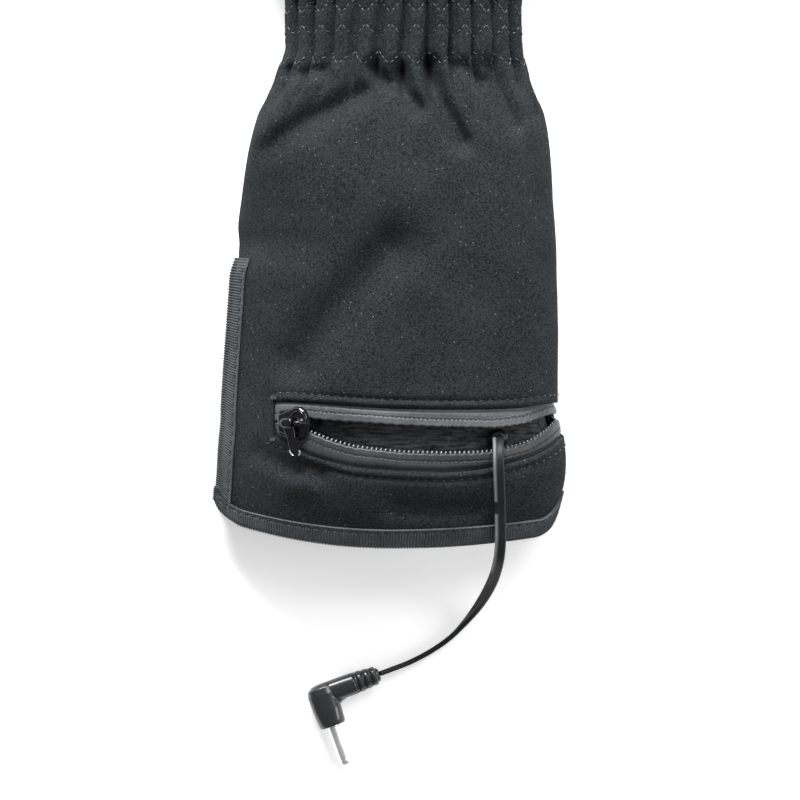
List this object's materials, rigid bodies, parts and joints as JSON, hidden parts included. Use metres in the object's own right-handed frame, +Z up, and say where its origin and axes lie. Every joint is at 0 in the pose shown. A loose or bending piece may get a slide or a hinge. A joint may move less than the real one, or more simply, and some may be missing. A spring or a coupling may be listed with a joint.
{
  "type": "heated glove",
  "caption": "Left-hand heated glove lying palm down, with an elasticated wrist, a gauntlet cuff with a bound side vent, a half-open zipped battery pocket and a cord with a right-angled plug.",
  "frame": {"origin": "centre of the underside of the glove's own box, without its cord and plug", "axes": "+X across the glove to the thumb's side, +Y from the cuff's hem to the finger tips, +Z up from the palm to the back of the hand"},
  "size_m": [0.131, 0.3904, 0.0342],
  "materials": {
    "softshell": "matte softshell with a fine fleck",
    "binding": "ribbed tape",
    "zip_tape": "coated, satin",
    "coil": "moulded",
    "slider": "gloss enamel",
    "lining": "brushed knit",
    "cord": "satin",
    "plug": "moulded, satin",
    "barrel": "polished"
  },
  "bodies": {
    "glove": {"cuff_shell": "softshell", "wrist_gather": "softshell", "palm_shell": "softshell", "thumb": "softshell", "index_finger": "softshell", "middle_finger": "softshell", "ring_finger": "softshell", "little_finger": "softshell", "hem_binding": "binding", "vent_binding_back": "binding", "vent_binding_palm": "binding", "zip_tape_upper": "zip_tape", "zip_tape_lower": "zip_tape", "zip_teeth_upper": "coil", "zip_teeth_lower": "coil", "pocket_lining": "lining", "slider_body": "slider", "cord_gland": "plug", "cord": "cord", "plug_body": "plug", "plug_barrel": "barrel"},
    "pull_tab": {"pull_tab": "slider"}
  },
  "joints": [
    {"name": "pull_tab_swing", "type": "hinge", "parent": "glove", "child": "pull_tab", "pos_m": [-0.045, -0.13148, 0.03114], "axis": [-0.8787, 0, -0.4774], "range_deg": [0, 150]}
  ]
}
